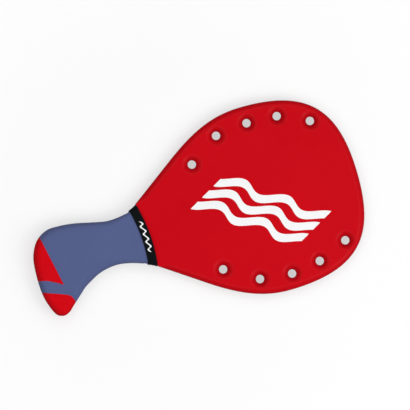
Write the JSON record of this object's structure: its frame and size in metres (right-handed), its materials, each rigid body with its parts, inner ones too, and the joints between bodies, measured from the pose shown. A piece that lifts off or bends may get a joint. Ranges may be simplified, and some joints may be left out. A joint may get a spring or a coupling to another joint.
{
  "type": "frescobol racket",
  "caption": "Moulded beach bat with a broad holed blade, rolled edges, and a hooked pistol-shaped handle in a soft sleeve with a neck band.",
  "frame": {"origin": "middle of the bounding box's footprint, on the surface that the racket lies on", "axes": "+X along the racket from the handle's butt to the blade's tip, +Z out of the front face, +Y towards the handle's heel and away from its hooked toe"},
  "size_m": [0.405, 0.2272, 0.025],
  "materials": {
    "red_laminate": "gloss red gel coat over woven laminate",
    "core_foam": "rigid closed-cell foam sheet",
    "edge_wood": "bent hardwood bar",
    "spine_wood": "straight-grained hardwood",
    "cheek_foam": "shaped rigid foam",
    "grey_sleeve": "blue-grey knit-faced neoprene",
    "red_sleeve": "red knit-faced neoprene",
    "black_band": "matt black stretch band"
  },
  "bodies": {
    "root": {"front_skin": "red_laminate", "back_skin": "red_laminate", "blade_core": "core_foam", "rim_frame": "edge_wood", "handle_spine": "spine_wood", "front_cheek": "cheek_foam", "back_cheek": "cheek_foam", "grip_sleeve": "grey_sleeve", "heel_panel": "red_sleeve", "toe_panel": "red_sleeve", "collar_band": "black_band"}
  },
  "joints": []
}
